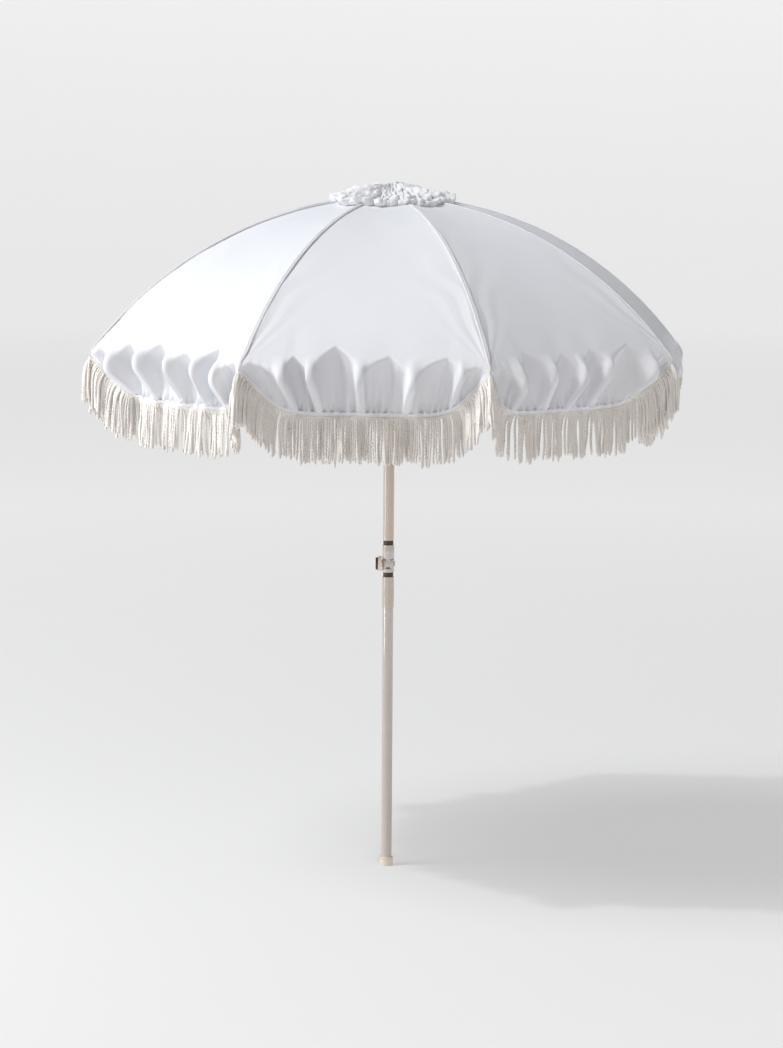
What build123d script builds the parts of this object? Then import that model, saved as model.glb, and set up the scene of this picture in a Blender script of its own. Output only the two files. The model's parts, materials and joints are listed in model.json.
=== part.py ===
"""Beach umbrella with a gored cloth canopy, a fringed valance and a two-piece pole.

Millimetres, +Z up, origin under the middle of the foot cap.  The canopy folds by a runner on the
upper pole, the pole tilts at a clamped knuckle, and the upper half lifts off the lower pole.
"""

import os
from math import atan2, cos, degrees, hypot, radians, sin, sqrt, tan

from build123d import *

os.makedirs("parts", exist_ok=True)

# ---------------------------------------------------------------- driving dimensions
RIB_COUNT = 8
FIRST_RIB = 18.0  # direction of rib 1 about +Z, degrees
CANOPY_RADIUS = 900.0  # pole axis to a corner of the rim
RIM_HEIGHT = 1560.0
CANOPY_RISE = 435.0  # rim to the top of the cloth
CLOTH = 1.0
SEAM_GAP = 0.3  # each gore stops this far from the seam plane

VALANCE_INSET = 65.0  # how far the hem stands in from the rim
VALANCE_DROP = 127.0
FRINGE_DROP = 130.0
FRINGE_THICKNESS = 5.0

POLE_R = 16.0
POLE_BORE_R = 14.5
FIT = 0.06  # radial clearance of every running fit

FOOT_R = 20.0
FOOT_HEIGHT = 27.0
FOOT_FLOOR = 3.0

LOWER_POLE_TOP = 868.0
SLEEVE_BOTTOM = 781.0
SLEEVE_TOP = 872.0
SLEEVE_R = 17.25
BAND_R = 15.0  # the two dark bands beside the knuckle
LOWER_BAND_TOP = 886.0
TILT_Z = 911.0  # tilt axis, along X
DISC_GAP = 15.0  # tilt axis to the faces of the two knuckle discs
EAR_R = 14.0
TONGUE_HALF = 5.7
EAR_INNER = 6.0
EAR_OUTER = 17.0
TONGUE_DISC_TOP = 951.0
RING_TOP = 967.0
UPPER_BAND_TOP = 981.0
SPIGOT_DEPTH = 60.0

BOLT_R = 4.0
KNOB_R = 22.0
KNOB_INNER_X = -19.4
KNOB_OUTER_X = -37.5
WASHER_R = 11.0

PIVOT_R = 33.0  # pole axis to the rib hinges, and to the runner's pins
PIVOT_Z = 1980.0
HUB_R = 40.0
HUB_HALF = 8.0
SLOT_WIDTH = 7.0
SLOT_START_R = 26.0
PIN_R = 1.5
EYE_R = 4.5
EYE_THICKNESS = 5.0

RIB_DROP = 6.0  # rib centreline under the cloth
RIB_WIRE_R = 2.5
RIB_END_R = 887.0
RIB_TIP_R = 3.4
JOINT_R = 470.0  # pole axis to the stretcher bracket
BRACKET_DROP = 10.0
STRETCHER_R = 3.0
FLAT_LENGTH = 14.0

RUNNER_R = 22.0
RUNNER_LENGTH = 50.0

CLOTH_TOP = RIM_HEIGHT + CANOPY_RISE
CLOTH_ARC_R = (CANOPY_RADIUS**2 + CANOPY_RISE**2) / (2 * CANOPY_RISE)
ARC_CENTRE_Z = CLOTH_TOP - CLOTH_ARC_R
STEP = 360.0 / RIB_COUNT
HALF_STEP = STEP / 2
MIDDLE = cos(radians(HALF_STEP))  # middle of a gore, as a share of the radius at its seams
RIM_MIDDLE = CANOPY_RADIUS * MIDDLE
GORE_START = 14.0


def arc_point(r, drop=0.0):
    """A point of the seam's arc, or of the arc a distance inside it, at radius r."""
    return (r, ARC_CENTRE_Z + sqrt((CLOTH_ARC_R - drop) ** 2 - r**2))


def middle_point(s, lift=0.0):
    """A point of the gore's middle line, s from the pole axis."""
    r, z = arc_point(s / MIDDLE)
    return (s, z + lift)


def unit(start, end):
    length = hypot(end[0] - start[0], end[1] - start[1])
    return ((end[0] - start[0]) / length, (end[1] - start[1]) / length)


# the stretcher's outer hinge hangs under the rib, square to it
JOINT_ON_RIB = arc_point(JOINT_R, RIB_DROP)
TO_CENTRE = unit(JOINT_ON_RIB, (0.0, ARC_CENTRE_Z))
JOINT = (JOINT_ON_RIB[0] + BRACKET_DROP * TO_CENTRE[0], JOINT_ON_RIB[1] + BRACKET_DROP * TO_CENTRE[1])
# the link from the hub to this hinge is as long as the stretcher, so the runner's pin is below the hub's
RUNNER_Z = 2 * JOINT[1] - PIVOT_Z
STRETCHER_LENGTH = hypot(JOINT[0] - PIVOT_R, JOINT[1] - PIVOT_Z)
STRETCHER_ANGLE = degrees(atan2(JOINT[1] - RUNNER_Z, JOINT[0] - PIVOT_R))


def save(piece, label):
    piece.part.label = label
    export_step(piece.part, f"parts/{label}.step")


def save_ring(piece, label, first_angle):
    """Write one copy of a piece for each of the canopy's directions."""
    for number in range(RIB_COUNT):
        angle = first_angle + number * STEP
        with BuildPart() as copy:
            add(piece.part, rotation=(0, 0, angle))
        save(copy, f"{label}_{number + 1}")


# ---------------------------------------------------------------- lower pole
def make_lower_pole():
    with BuildPart() as pole:
        with BuildSketch(Plane.XY.offset(FOOT_FLOOR)):
            Circle(POLE_R)
            Circle(POLE_BORE_R, mode=Mode.SUBTRACT)
        extrude(amount=LOWER_POLE_TOP - FOOT_FLOOR)
        rim = pole.edges().group_by(Axis.Z)[-1].sort_by(SortBy.RADIUS)[-1]
        chamfer(rim, 0.4)
    save(pole, "lower_pole")


def make_foot_cap():
    bead_bottom = 22.5
    bead_groove = 1.2
    with BuildPart() as cap:
        with BuildSketch(Plane.XY):
            Circle(FOOT_R)
        extrude(amount=FOOT_HEIGHT)
        with BuildSketch(Plane.XY.offset(FOOT_FLOOR)):
            Circle(POLE_R)
        extrude(amount=FOOT_HEIGHT, mode=Mode.SUBTRACT)
        with BuildSketch(Plane.XY.offset(bead_bottom - bead_groove)):
            Circle(FOOT_R)
            Circle(FOOT_R - bead_groove, mode=Mode.SUBTRACT)
        extrude(amount=bead_groove, mode=Mode.SUBTRACT)
        fillet(cap.edges().group_by(Axis.Z)[-1].sort_by(SortBy.RADIUS)[-1], 1.8)
        chamfer(cap.edges().group_by(Axis.Z)[0], 1.5)
    save(cap, "foot_cap")


# ---------------------------------------------------------------- knuckle
def make_ferrule_lower():
    lip = 3.0
    with BuildPart() as sleeve:
        with BuildSketch(Plane.XY.offset(SLEEVE_BOTTOM)):
            Circle(SLEEVE_R)
            Circle(POLE_R + FIT, mode=Mode.SUBTRACT)
        extrude(amount=SLEEVE_TOP - lip - SLEEVE_BOTTOM)
        with BuildSketch(Plane.XY.offset(SLEEVE_TOP - lip)):
            Circle(SLEEVE_R)
            Circle(POLE_BORE_R - FIT, mode=Mode.SUBTRACT)
        extrude(amount=lip)
        chamfer(sleeve.edges().group_by(Axis.Z)[-1].sort_by(SortBy.RADIUS)[-1], 0.6)
    save(sleeve, "ferrule_lower")


def make_core_lower():
    with BuildPart() as core:
        with BuildSketch(Plane.XY.offset(SLEEVE_TOP - SPIGOT_DEPTH)):
            Circle(POLE_BORE_R - FIT)
        extrude(amount=SPIGOT_DEPTH)
        with BuildSketch(Plane.XY.offset(SLEEVE_TOP)):
            Circle(BAND_R)
        extrude(amount=LOWER_BAND_TOP - SLEEVE_TOP)
        chamfer(core.edges().group_by(Axis.Z)[0], 1.5)
    save(core, "core_lower")


def cut_cross_hole(radius):
    """Drill along the tilt axis."""
    with BuildSketch(Plane.YZ) as hole:
        with Locations((0, TILT_Z)):
            Circle(radius)
    extrude(hole.sketch, amount=2 * EAR_OUTER, both=True, mode=Mode.SUBTRACT)


def make_knuckle_fork():
    disc_top = TILT_Z - DISC_GAP
    with BuildPart() as fork:
        with BuildSketch(Plane.XY.offset(LOWER_BAND_TOP)):
            Circle(SLEEVE_R)
        extrude(amount=disc_top - LOWER_BAND_TOP)
        chamfer(fork.edges().group_by(Axis.Z)[0], 0.8)
        for side in (-1, 1):
            with BuildSketch(Plane.YZ.offset(side * EAR_INNER)):
                with Locations((0, TILT_Z)):
                    Circle(EAR_R)
                with Locations((0, (TILT_Z + disc_top) / 2 - 1)):
                    Rectangle(2 * EAR_R - 4, DISC_GAP + 2)
            extrude(amount=side * (EAR_OUTER - EAR_INNER))
        with BuildSketch(Plane.XY.offset(LOWER_BAND_TOP)):
            Circle(SLEEVE_R)
        extrude(amount=2 * EAR_R + DISC_GAP, mode=Mode.INTERSECT)
        cut_cross_hole(BOLT_R)
    save(fork, "knuckle_fork")


def make_knuckle_tongue():
    disc_bottom = TILT_Z + DISC_GAP
    with BuildPart() as tongue:
        with BuildSketch(Plane.XY.offset(disc_bottom)):
            Circle(SLEEVE_R)
        extrude(amount=TONGUE_DISC_TOP - disc_bottom)
        fillet(tongue.edges().group_by(Axis.Z)[-1], 1.5)
        with BuildSketch(Plane.YZ):
            with Locations((0, TILT_Z)):
                Circle(EAR_R)
            with Locations((0, (TILT_Z + disc_bottom) / 2 + 1)):
                Rectangle(2 * EAR_R - 4, DISC_GAP + 2)
        extrude(amount=TONGUE_HALF, both=True)
        cut_cross_hole(BOLT_R + FIT)
    save(tongue, "knuckle_tongue")


def make_ferrule_upper():
    groove_width = 1.4
    groove_depth = 0.9
    with BuildPart() as ring:
        with BuildSketch(Plane.XY.offset(TONGUE_DISC_TOP)):
            Circle(SLEEVE_R)
            Circle(BAND_R, mode=Mode.SUBTRACT)
        extrude(amount=RING_TOP - TONGUE_DISC_TOP)
        for height in (3.5, 7.5, 11.5):
            with BuildSketch(Plane.XY.offset(TONGUE_DISC_TOP + height)):
                Circle(SLEEVE_R)
                Circle(SLEEVE_R - groove_depth, mode=Mode.SUBTRACT)
            extrude(amount=groove_width, mode=Mode.SUBTRACT)
    save(ring, "ferrule_upper")


def make_core_upper():
    with BuildPart() as core:
        with BuildSketch(Plane.XY.offset(TONGUE_DISC_TOP)):
            Circle(BAND_R)
        extrude(amount=UPPER_BAND_TOP - TONGUE_DISC_TOP)
        with BuildSketch(Plane.XY.offset(UPPER_BAND_TOP)):
            Circle(POLE_BORE_R)
        extrude(amount=SPIGOT_DEPTH)
        chamfer(core.edges().group_by(Axis.Z)[-1], 1.5)
    save(core, "core_upper")


# ---------------------------------------------------------------- clamp knob
def ring_along_x(inner_x, outer_x, outer_r, inner_r=0.0):
    """Add a disc or a ring about the tilt axis."""
    with BuildSketch(Plane.YZ.offset(inner_x)) as ring:
        with Locations((0, TILT_Z)):
            Circle(outer_r)
            if inner_r:
                Circle(inner_r, mode=Mode.SUBTRACT)
    extrude(ring.sketch, amount=outer_x - inner_x)


def make_knob_bolt():
    head_r = 7.5
    head_height = 3.2
    bolt_end = KNOB_OUTER_X + 5.0
    with BuildPart() as bolt:
        ring_along_x(bolt_end, EAR_OUTER, BOLT_R)
        ring_along_x(EAR_OUTER, EAR_OUTER + head_height, head_r)
        fillet(bolt.edges().group_by(Axis.X)[-1], 2.0)
    save(bolt, "knob_bolt")


def make_knob_washer():
    with BuildPart() as washer:
        ring_along_x(KNOB_INNER_X + 0.2, -EAR_OUTER - 0.3, WASHER_R, BOLT_R + FIT)
    save(washer, "knob_washer")


NUT_ACROSS = 13.0
NUT_DEPTH = 11.0


def make_clamp_nut():
    with BuildPart() as nut:
        with BuildSketch(Plane.YZ.offset(KNOB_INNER_X)):
            with Locations((0, TILT_Z)):
                RegularPolygon(NUT_ACROSS / 2, 6, major_radius=False)
                Circle(BOLT_R + FIT, mode=Mode.SUBTRACT)
        extrude(amount=-NUT_DEPTH)
    save(nut, "clamp_nut")


def make_tilt_knob():
    flute_count = 20
    flute_r = 2.0
    rim_depth = 11.0
    face_r = 18.5
    cavity_end = KNOB_OUTER_X + 3.0
    with BuildPart() as knob:
        ring_along_x(KNOB_INNER_X, KNOB_INNER_X - rim_depth, KNOB_R)
        ring_along_x(KNOB_INNER_X - rim_depth, KNOB_OUTER_X, face_r)
        fillet(knob.edges().group_by(Axis.X)[0], 2.5)
        with BuildSketch(Plane.YZ.offset(KNOB_INNER_X)):
            with Locations((0, TILT_Z)):
                with PolarLocations(KNOB_R + flute_r / 2, flute_count):
                    Circle(flute_r)
        extrude(amount=-rim_depth, mode=Mode.SUBTRACT)
        with BuildSketch(Plane.YZ.offset(KNOB_INNER_X)):
            with Locations((0, TILT_Z)):
                RegularPolygon(NUT_ACROSS / 2, 6, major_radius=False)
        extrude(amount=-NUT_DEPTH, mode=Mode.SUBTRACT)
        with BuildSketch(Plane.YZ.offset(KNOB_INNER_X)):
            with Locations((0, TILT_Z)):
                Circle(BOLT_R + 1.0)
        extrude(amount=cavity_end - KNOB_INNER_X, mode=Mode.SUBTRACT)
    save(knob, "tilt_knob")


# ---------------------------------------------------------------- upper pole
CATCH_TOP = RUNNER_Z - HUB_HALF - RUNNER_LENGTH - 0.4
CATCH_HEIGHT = 26.0
CATCH_WIDTH = 4.0
CATCH_REACH = 21.0
HUB_NECK = 22.0
POLE_TOP = PIVOT_Z + HUB_HALF - 4.0
SCREW_R = 3.0


def make_upper_pole():
    window_side = 0.6
    with BuildPart() as pole:
        with BuildSketch(Plane.XY.offset(UPPER_BAND_TOP)):
            Circle(POLE_R)
            Circle(POLE_BORE_R, mode=Mode.SUBTRACT)
        extrude(amount=POLE_TOP - UPPER_BAND_TOP)
        window_middle = CATCH_TOP - CATCH_HEIGHT / 2
        with BuildSketch(Plane.YZ.offset(POLE_BORE_R - 3)):
            with Locations((0, window_middle)):
                Rectangle(CATCH_WIDTH + 2 * window_side, CATCH_HEIGHT + 2 * window_side)
        extrude(amount=POLE_R, mode=Mode.SUBTRACT)
    save(pole, "upper_pole")


def make_catch_leaf():
    back = 10.5
    tail = 40.0
    with BuildPart() as leaf:
        with BuildSketch(Plane.XZ):
            with BuildLine():
                Polyline(
                    (back, CATCH_TOP),
                    (CATCH_REACH, CATCH_TOP),
                    (CATCH_REACH, CATCH_TOP - 4),
                    (back + 1.5, CATCH_TOP - CATCH_HEIGHT),
                    (back + 1.5, CATCH_TOP - CATCH_HEIGHT - tail),
                    (back, CATCH_TOP - CATCH_HEIGHT - tail),
                    close=True,
                )
            make_face()
        extrude(amount=CATCH_WIDTH / 2, both=True)
    save(leaf, "catch_leaf")


def cut_slots(z_middle, pocket_length=0.0, pocket_half=0.0):
    """Cut the radial slots of the hub or of the runner's crown, open above and below."""
    with BuildSketch(Plane.XY.offset(z_middle - HUB_HALF - 1)) as slots:
        with PolarLocations(0, RIB_COUNT, FIRST_RIB):
            with Locations((SLOT_START_R + HUB_R / 2, 0)):
                Rectangle(HUB_R, SLOT_WIDTH)
            if pocket_length:
                with Locations((PIVOT_R, 0)):
                    Rectangle(2 * pocket_half, pocket_length)
    extrude(slots.sketch, amount=2 * HUB_HALF + 2, mode=Mode.SUBTRACT)


PIN_LENGTH = 16.0


def make_top_hub():
    with BuildPart() as hub:
        with BuildSketch(Plane.XY.offset(PIVOT_Z - HUB_HALF)):
            Circle(HUB_R)
        extrude(amount=2 * HUB_HALF)
        fillet(hub.edges().group_by(Axis.Z)[-1], 1.5)
        with BuildSketch(Plane.XY.offset(PIVOT_Z - HUB_HALF)):
            Circle(HUB_NECK)
        extrude(amount=-HUB_NECK)
        with BuildSketch(Plane.XY.offset(PIVOT_Z - HUB_HALF - HUB_NECK)):
            Circle(POLE_R)
        extrude(amount=POLE_TOP - PIVOT_Z + HUB_HALF + HUB_NECK, mode=Mode.SUBTRACT)
        with BuildSketch(Plane.XY.offset(PIVOT_Z)):
            Circle(SCREW_R)
        extrude(amount=2 * HUB_HALF, mode=Mode.SUBTRACT)
        cut_slots(PIVOT_Z)
        for number in range(RIB_COUNT):
            with BuildSketch(tangent_plane(number)):
                Circle(PIN_R)
            extrude(amount=PIN_LENGTH / 2, both=True, mode=Mode.SUBTRACT)
    save(hub, "top_hub")


def tangent_plane(number):
    """A plane through a rib's hinge, square to the hinge's axis."""
    angle = radians(FIRST_RIB + number * STEP)
    return Plane(
        origin=(PIVOT_R * cos(angle), PIVOT_R * sin(angle), PIVOT_Z),
        x_dir=(cos(angle), sin(angle), 0),
        z_dir=(-sin(angle), cos(angle), 0),
    )


def make_hub_pins():
    with BuildPart() as pins:
        for number in range(RIB_COUNT):
            with BuildSketch(tangent_plane(number)):
                Circle(PIN_R)
            extrude(amount=PIN_LENGTH / 2, both=True)
    save(pins, "hub_pins")


def make_crown_cap():
    boss_r = 9.0
    disc_r = 26.0
    disc_bottom = CLOTH_TOP + CLOTH
    with BuildPart() as cap:
        with BuildSketch(Plane.XY.offset(PIVOT_Z + HUB_HALF)):
            Circle(boss_r)
        extrude(amount=disc_bottom - PIVOT_Z - HUB_HALF)
        with BuildSketch(Plane.XY.offset(disc_bottom)):
            Circle(disc_r)
        extrude(amount=3.0)
        fillet(cap.edges().group_by(Axis.Z)[-1], 2.0)
        with BuildSketch(Plane.XY.offset(PIVOT_Z)):
            Circle(SCREW_R)
        extrude(amount=2 * disc_r, mode=Mode.SUBTRACT)
    save(cap, "crown_cap")


def make_finial_screw():
    seat = CLOTH_TOP + CLOTH + 3.0
    with BuildPart() as screw:
        with BuildSketch(Plane.XY.offset(POLE_TOP)):
            Circle(SCREW_R)
        extrude(amount=seat - POLE_TOP)
        with BuildSketch(Plane.XY.offset(seat)):
            Circle(3 * SCREW_R)
        extrude(amount=5.0)
        fillet(screw.edges().group_by(Axis.Z)[-1], 3.0)
    save(screw, "finial_screw")


def make_ruffle():
    """A thin domed ring on top of the cloth, the outer shape of the gathered rosette."""
    sheet = 1.2
    foot = middle_point(190.0, lift=5.0)
    crest = (118.0, CLOTH_TOP + 32.0)
    centre = (36.0, CLOTH_TOP + 10.0)
    with BuildPart() as ruffle:
        with BuildSketch(Plane.XZ):
            with BuildLine():
                outer = ThreePointArc(foot, crest, centre)
                inner = ThreePointArc(*(Vector(*point) - (0, sheet) for point in (foot, crest, centre)))
                Line(outer @ 0, inner @ 0)
                Line(outer @ 1, inner @ 1)
            make_face()
        revolve(axis=Axis.Z)
    save(ruffle, "ruffle")


# ---------------------------------------------------------------- runner
def make_runner():
    bottom = RUNNER_Z - HUB_HALF - RUNNER_LENGTH
    grip_groove = 1.5
    pocket_length = 13.5
    pocket_half = 2.1
    with BuildPart() as runner:
        with BuildSketch(Plane.XY.offset(bottom)):
            Circle(RUNNER_R)
        extrude(amount=RUNNER_LENGTH)
        fillet(runner.edges().group_by(Axis.Z)[0], 2.0)
        with BuildSketch(Plane.XY.offset(RUNNER_Z - HUB_HALF)):
            Circle(HUB_R)
        extrude(amount=2 * HUB_HALF)
        for height in (12.0, 20.0, 28.0):
            with BuildSketch(Plane.XY.offset(bottom + height)):
                Circle(RUNNER_R)
                Circle(RUNNER_R - grip_groove, mode=Mode.SUBTRACT)
            extrude(amount=2 * grip_groove, mode=Mode.SUBTRACT)
        with BuildSketch(Plane.XY.offset(bottom)):
            Circle(POLE_R + FIT)
        extrude(amount=RUNNER_LENGTH + 2 * HUB_HALF, mode=Mode.SUBTRACT)
        cut_slots(RUNNER_Z, pocket_length, pocket_half)
    save(runner, "runner")


# ---------------------------------------------------------------- ribs and stretchers
def cut_across(point, radius):
    """Drill through a piece that lies in the XZ plane."""
    with BuildSketch(Plane.XZ) as hole:
        with Locations(point):
            Circle(radius)
    extrude(hole.sketch, amount=PIVOT_R, both=True, mode=Mode.SUBTRACT)


def add_disc(point, radius, thickness):
    """Add a disc or a pin that lies across the XZ plane."""
    with BuildSketch(Plane.XZ) as disc:
        with Locations(point):
            Circle(radius)
    extrude(disc.sketch, amount=thickness / 2, both=True)


def make_ribs():
    pivot = (PIVOT_R, PIVOT_Z)
    end = arc_point(RIB_END_R, RIB_DROP)
    with BuildPart() as rib:
        with BuildLine(Plane.XZ) as path:
            ThreePointArc(pivot, JOINT_ON_RIB, end)
        with BuildSketch(Plane(origin=path.line @ 0, z_dir=path.line % 0)):
            Circle(RIB_WIRE_R)
        sweep()
        with Locations((end[0], 0, end[1])):
            Sphere(RIB_TIP_R)
        add_disc(pivot, EYE_R, EYE_THICKNESS)
        cut_across(pivot, PIN_R + FIT)
    save_ring(rib, "rib", FIRST_RIB)


def make_stretchers():
    inner = (PIVOT_R, RUNNER_Z)
    tube_length = STRETCHER_LENGTH - 2 * FLAT_LENGTH
    along = unit(inner, JOINT)
    middle = ((inner[0] + JOINT[0]) / 2, (inner[1] + JOINT[1]) / 2)
    tube_start = Vector(inner[0] + FLAT_LENGTH * along[0], 0, inner[1] + FLAT_LENGTH * along[1])
    pin_length = 12.0
    with BuildPart() as stretcher:
        with BuildSketch(Plane(origin=tube_start, x_dir=(0, 1, 0), z_dir=(along[0], 0, along[1]))):
            Circle(STRETCHER_R)
        extrude(amount=tube_length)
        with BuildSketch(Plane.XZ):
            with Locations(Location(middle, STRETCHER_ANGLE)):
                Rectangle(STRETCHER_LENGTH, 2 * STRETCHER_R - 1)
        extrude(amount=EYE_THICKNESS / 2 - 0.4, both=True)
        add_disc(inner, EYE_R, EYE_THICKNESS)
        add_disc(JOINT, EYE_R, EYE_THICKNESS)
        cut_across(JOINT, PIN_R + FIT)
        add_disc(inner, PIN_R, pin_length)
    save_ring(stretcher, "stretcher", FIRST_RIB)


def make_rib_brackets():
    half_width = 4.0
    half_length = 5.0
    above = 3.4
    below = 4.0
    ear_inner = EYE_THICKNESS / 2 + 0.3
    tail = EYE_R
    aligned = Plane(
        origin=(JOINT_ON_RIB[0], 0, JOINT_ON_RIB[1]),
        x_dir=(-TO_CENTRE[1], 0, TO_CENTRE[0]),
        z_dir=(0, -1, 0),
    )
    with BuildPart() as bracket:
        with BuildSketch(aligned):
            with Locations((0, (above - BRACKET_DROP) / 2)):
                Rectangle(2 * half_length, above + BRACKET_DROP)
            with Locations((0, -BRACKET_DROP)):
                Circle(tail)
        extrude(amount=half_width, both=True)
        with BuildSketch(aligned):
            with Locations((0, -below - BRACKET_DROP)):
                Rectangle(4 * half_length, 2 * BRACKET_DROP)
        extrude(amount=ear_inner, both=True, mode=Mode.SUBTRACT)
        with BuildSketch(Plane(aligned.origin - half_length * 2 * aligned.x_dir, z_dir=aligned.x_dir)):
            Circle(RIB_WIRE_R + FIT)
        extrude(amount=4 * half_length, mode=Mode.SUBTRACT)
        add_disc(JOINT, PIN_R, 2 * half_width + 2)
    save_ring(bracket, "rib_bracket", FIRST_RIB)


# ---------------------------------------------------------------- canopy cloth
def keep_wedge(bottom, top):
    """Keep what lies between the two seam planes, less the gap at each."""
    shift = SEAM_GAP / sin(radians(HALF_STEP))
    reach = 1.2 * CANOPY_RADIUS
    side = (reach - shift) * tan(radians(HALF_STEP))
    with BuildSketch(Plane.XY.offset(bottom)) as wedge:
        with BuildLine():
            Polyline((shift, 0), (reach, side), (reach, -side), close=True)
        make_face()
    extrude(wedge.sketch, amount=top - bottom, mode=Mode.INTERSECT)


def make_gores():
    start = middle_point(GORE_START)
    middle = middle_point(0.55 * RIM_MIDDLE)
    end = middle_point(RIM_MIDDLE)
    half = CLOTH / 2
    with BuildPart() as gore:
        with BuildSketch(Plane.XZ):
            with BuildLine():
                outer = ThreePointArc(
                    (start[0], start[1] + half),
                    (middle[0], middle[1] + half),
                    (end[0] + half, end[1]),
                )
                inner = ThreePointArc(
                    (start[0], start[1] - half),
                    (middle[0], middle[1] - half),
                    (end[0] - half, end[1]),
                )
                Line(outer @ 0, inner @ 0)
                Line(outer @ 1, inner @ 1)
            make_face()
        extrude(amount=CANOPY_RADIUS / 2, both=True)
        keep_wedge(RIM_HEIGHT - CLOTH, CLOTH_TOP + CLOTH)
    save_ring(gore, "canopy_gore", FIRST_RIB + HALF_STEP)


def make_valances():
    top = (RIM_MIDDLE, RIM_HEIGHT - CLOTH)
    hem = (RIM_MIDDLE - VALANCE_INSET, RIM_HEIGHT - VALANCE_DROP)
    half = CLOTH / 2
    fringe_half = FRINGE_THICKNESS / 2
    fringe_bottom = hem[1] - FRINGE_DROP
    with BuildPart() as valance:
        with BuildSketch(Plane.XZ):
            with BuildLine():
                Polyline(
                    (top[0] - half, top[1]),
                    (top[0] + half, top[1]),
                    (hem[0] + half, hem[1]),
                    (hem[0] - half, hem[1]),
                    close=True,
                )
            make_face()
            with Locations((hem[0], hem[1] - FRINGE_DROP / 2)):
                Rectangle(2 * fringe_half, FRINGE_DROP)
        extrude(amount=CANOPY_RADIUS / 2, both=True)
        keep_wedge(fringe_bottom - CLOTH, RIM_HEIGHT)
    save_ring(valance, "valance", FIRST_RIB + HALF_STEP)


make_lower_pole()
make_foot_cap()
make_ferrule_lower()
make_core_lower()
make_knuckle_fork()
make_knuckle_tongue()
make_ferrule_upper()
make_core_upper()
make_knob_bolt()
make_knob_washer()
make_clamp_nut()
make_tilt_knob()
make_upper_pole()
make_catch_leaf()
make_top_hub()
make_hub_pins()
make_crown_cap()
make_finial_screw()
make_ruffle()
make_runner()
make_ribs()
make_stretchers()
make_rib_brackets()
make_gores()
make_valances()
print(f"runner pin height {RUNNER_Z:.3f}, stretcher {STRETCHER_LENGTH:.3f}, angle {STRETCHER_ANGLE:.3f}")
print(f"stretcher hinge {JOINT[0]:.4f}, {JOINT[1]:.4f}, catch top {CATCH_TOP:.3f}")
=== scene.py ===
"""Beach umbrella: cloth, fringe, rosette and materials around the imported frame.  Metres, +Z up."""

import json
from math import atan2, cos, hypot, pi, radians, sin, sqrt, tan

import bpy
import numpy as np
from mathutils import Matrix, Vector


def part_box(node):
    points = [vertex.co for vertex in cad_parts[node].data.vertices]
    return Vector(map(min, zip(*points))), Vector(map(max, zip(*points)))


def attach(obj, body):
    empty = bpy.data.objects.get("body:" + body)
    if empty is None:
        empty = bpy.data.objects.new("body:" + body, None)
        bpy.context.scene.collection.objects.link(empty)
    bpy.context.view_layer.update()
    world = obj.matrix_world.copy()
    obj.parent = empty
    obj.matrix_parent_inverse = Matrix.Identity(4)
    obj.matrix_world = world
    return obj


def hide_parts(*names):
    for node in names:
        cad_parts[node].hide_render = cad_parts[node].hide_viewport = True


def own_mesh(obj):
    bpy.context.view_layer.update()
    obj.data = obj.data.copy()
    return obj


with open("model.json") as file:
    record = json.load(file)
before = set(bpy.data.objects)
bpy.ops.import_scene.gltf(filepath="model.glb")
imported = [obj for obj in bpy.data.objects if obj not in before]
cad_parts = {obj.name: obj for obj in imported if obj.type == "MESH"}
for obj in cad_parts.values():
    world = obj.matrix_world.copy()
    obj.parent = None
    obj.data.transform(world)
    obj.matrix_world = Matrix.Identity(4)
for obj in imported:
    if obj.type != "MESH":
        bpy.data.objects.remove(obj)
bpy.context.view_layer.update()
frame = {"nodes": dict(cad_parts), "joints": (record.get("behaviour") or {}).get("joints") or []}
JOINTS = {joint["name"]: joint for joint in frame["joints"]}

# ---------------------------------------------------------------- places taken from the frame
SIDES = 8
HALF_SIDE = pi / SIDES
RIM_POINT = JOINTS["valance_hang_1"]["pos_m"]
RIM_MIDDLE = hypot(RIM_POINT[0], RIM_POINT[1])
RIM_Z = RIM_POINT[2]
RIM_RADIUS = RIM_MIDDLE / cos(HALF_SIDE)
CLOTH_THICKNESS = 0.0007
CLOTH_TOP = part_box("canopy_gore_1")[1][2] - CLOTH_THICKNESS
RISE = CLOTH_TOP - RIM_Z
ARC_RADIUS = (RIM_RADIUS**2 + RISE**2) / (2 * RISE)
ARC_CENTRE = CLOTH_TOP - ARC_RADIUS
RIM_ANGLE = np.arcsin(RIM_RADIUS / ARC_RADIUS)

# ---------------------------------------------------------------- sizes of the cloth and the fringe
TOP_HOLE = 0.017  # radius of the hole at the top of the gores
HEM_DROP = 0.122  # rim to hem in the middle of a side
HEM_INSET = 0.068  # how much nearer to the pole it is there
TIP_HEM_IN, TIP_HEM_DOWN = 0.001, 0.009  # where the hem starts at a rib tip
GATHER_START = 0.115  # along the cloth, above the rim
VALLEYS = 6  # deep folds in one side's gathers
CREASE_ROUND, RIDGE_ROUND = 0.008, 0.036  # how round the turn to the valance is, in a valley and on a ridge
VALLEY_BELLY, RIDGE_BELLY = 0.021, 0.024  # how far the valance curves in at a valley, and back out at a ridge
SAG = 0.011  # of the cloth between two ribs
FAN_HEIGHT, FAN_START, FAN_REACH, FAN_SPREAD = 0.0068, 0.09, 0.27, 0.26  # wrinkles from the rib tips
DRAWN_HEIGHT, DRAWN_ABOVE, DRAWN_WIDTH = 0.0020, 0.085, 0.045  # shallow folds above the gathers
SLACK_HEIGHT, RIPPLE_HEIGHT = 0.0016, 0.0006  # unevenness all over the cloth
RIDGE_HEIGHT, FOLD_HEIGHT, PUCKER_HEIGHT = 0.0095, 0.0040, 0.0076  # in the valance

CLOTH_COLUMNS, UPPER_ROWS, GATHER_ROWS, VALANCE_ROWS = 241, 64, 32, 48  # of one side's grid
PROFILE_STEPS = 60  # in each of the three parts of a column's profile

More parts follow.
